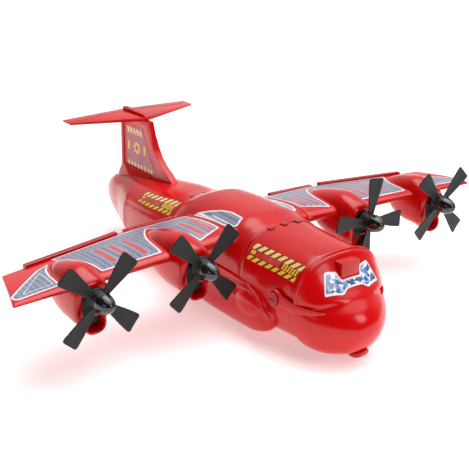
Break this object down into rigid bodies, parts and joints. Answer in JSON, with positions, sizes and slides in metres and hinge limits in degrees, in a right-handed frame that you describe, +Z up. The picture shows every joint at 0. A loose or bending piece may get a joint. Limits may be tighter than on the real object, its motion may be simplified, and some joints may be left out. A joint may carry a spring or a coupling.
{
  "type": "toy cargo airplane",
  "caption": "Four-engine toy cargo airplane with a lifting nose visor, a drop-down rear ramp, free-spinning propellers and rolling wheels under a hollow hold.",
  "frame": {"origin": "centre of the bounding box, on the ground under the wheels", "axes": "+X forward to the nose, +Y to the left wing tip, +Z up"},
  "size_m": [0.434, 0.54, 0.1485],
  "materials": {
    "red_shell": "glossy moulded ABS",
    "dark_red_trim": "glossy moulded ABS, darker batch",
    "black_prop": "satin moulded black polypropylene",
    "wheel_black": "matt black wheel plastic",
    "steel_pin": "bright drawn steel",
    "grey_inner": "matt grey recycled ABS"
  },
  "bodies": {
    "airframe": {"front_barrel": "red_shell", "centre_tub": "red_shell", "centre_cover": "red_shell", "rear_barrel": "red_shell", "cargo_floor": "grey_inner", "belly_screws": "steel_pin", "seam_latches": "dark_red_trim", "pivot_pins": "dark_red_trim", "ramp_pin": "steel_pin", "tail_fin": "red_shell", "tailplane": "red_shell", "tail_ridge": "red_shell", "wing_top_left": "red_shell", "wing_under_left": "red_shell", "wing_top_right": "red_shell", "wing_under_right": "red_shell", "flaps_left": "dark_red_trim", "flaps_right": "dark_red_trim", "wing_spar": "grey_inner", "nacelle_left_inner": "red_shell", "nacelle_left_outer": "red_shell", "nacelle_right_inner": "red_shell", "nacelle_right_outer": "red_shell", "engine_plates": "black_prop", "prop_shafts": "steel_pin", "fairing_left": "red_shell", "fairing_right": "red_shell"},
    "nose_visor_body": {"nose_visor": "red_shell", "visor_arm_left": "red_shell", "visor_arm_right": "red_shell", "visor_lip": "red_shell", "roof_block": "red_shell"},
    "ramp_body": {"ramp": "red_shell"},
    "nose_wheel_set": {"wheel_nose": "wheel_black", "axle_nose": "steel_pin"},
    "front_wheel_set": {"wheels_front": "wheel_black", "axle_front": "steel_pin"},
    "rear_wheel_set": {"wheels_rear": "wheel_black", "axle_rear": "steel_pin"},
    "propeller_left_inner": {"prop_left_inner": "black_prop", "spinner_left_inner": "black_prop"},
    "propeller_left_outer": {"prop_left_outer": "black_prop", "spinner_left_outer": "black_prop"},
    "propeller_right_inner": {"prop_right_inner": "black_prop", "spinner_right_inner": "black_prop"},
    "propeller_right_outer": {"prop_right_outer": "black_prop", "spinner_right_outer": "black_prop"}
  },
  "joints": [
    {"name": "visor_lift", "type": "hinge", "parent": "airframe", "child": "nose_visor_body", "pos_m": [0.147, 0, 0.0545], "axis": [0, -1, 0], "range_deg": [0, 42]},
    {"name": "ramp_drop", "type": "hinge", "parent": "airframe", "child": "ramp_body", "pos_m": [-0.095, 0, 0.009], "axis": [0, -1, 0], "range_deg": [0, 50]},
    {"name": "spin_left_inner", "type": "hinge", "parent": "airframe", "child": "propeller_left_inner", "pos_m": [0.109, 0.1, 0.0815], "axis": [1, 0, 0], "continuous": true},
    {"name": "spin_left_outer", "type": "hinge", "parent": "airframe", "child": "propeller_left_outer", "pos_m": [0.109, 0.2037, 0.0789], "axis": [1, 0, 0], "continuous": true},
    {"name": "spin_right_inner", "type": "hinge", "parent": "airframe", "child": "propeller_right_inner", "pos_m": [0.109, -0.1, 0.0815], "axis": [1, 0, 0], "continuous": true},
    {"name": "spin_right_outer", "type": "hinge", "parent": "airframe", "child": "propeller_right_outer", "pos_m": [0.109, -0.2037, 0.0789], "axis": [1, 0, 0], "continuous": true},
    {"name": "roll_nose", "type": "hinge", "parent": "airframe", "child": "nose_wheel_set", "pos_m": [0.147, 0, 0.009], "axis": [0, 1, 0], "continuous": true},
    {"name": "roll_front", "type": "hinge", "parent": "airframe", "child": "front_wheel_set", "pos_m": [0.081, 0, 0.009], "axis": [0, 1, 0], "continuous": true},
    {"name": "roll_rear", "type": "hinge", "parent": "airframe", "child": "rear_wheel_set", "pos_m": [0.021, 0, 0.009], "axis": [0, 1, 0], "continuous": true}
  ]
}
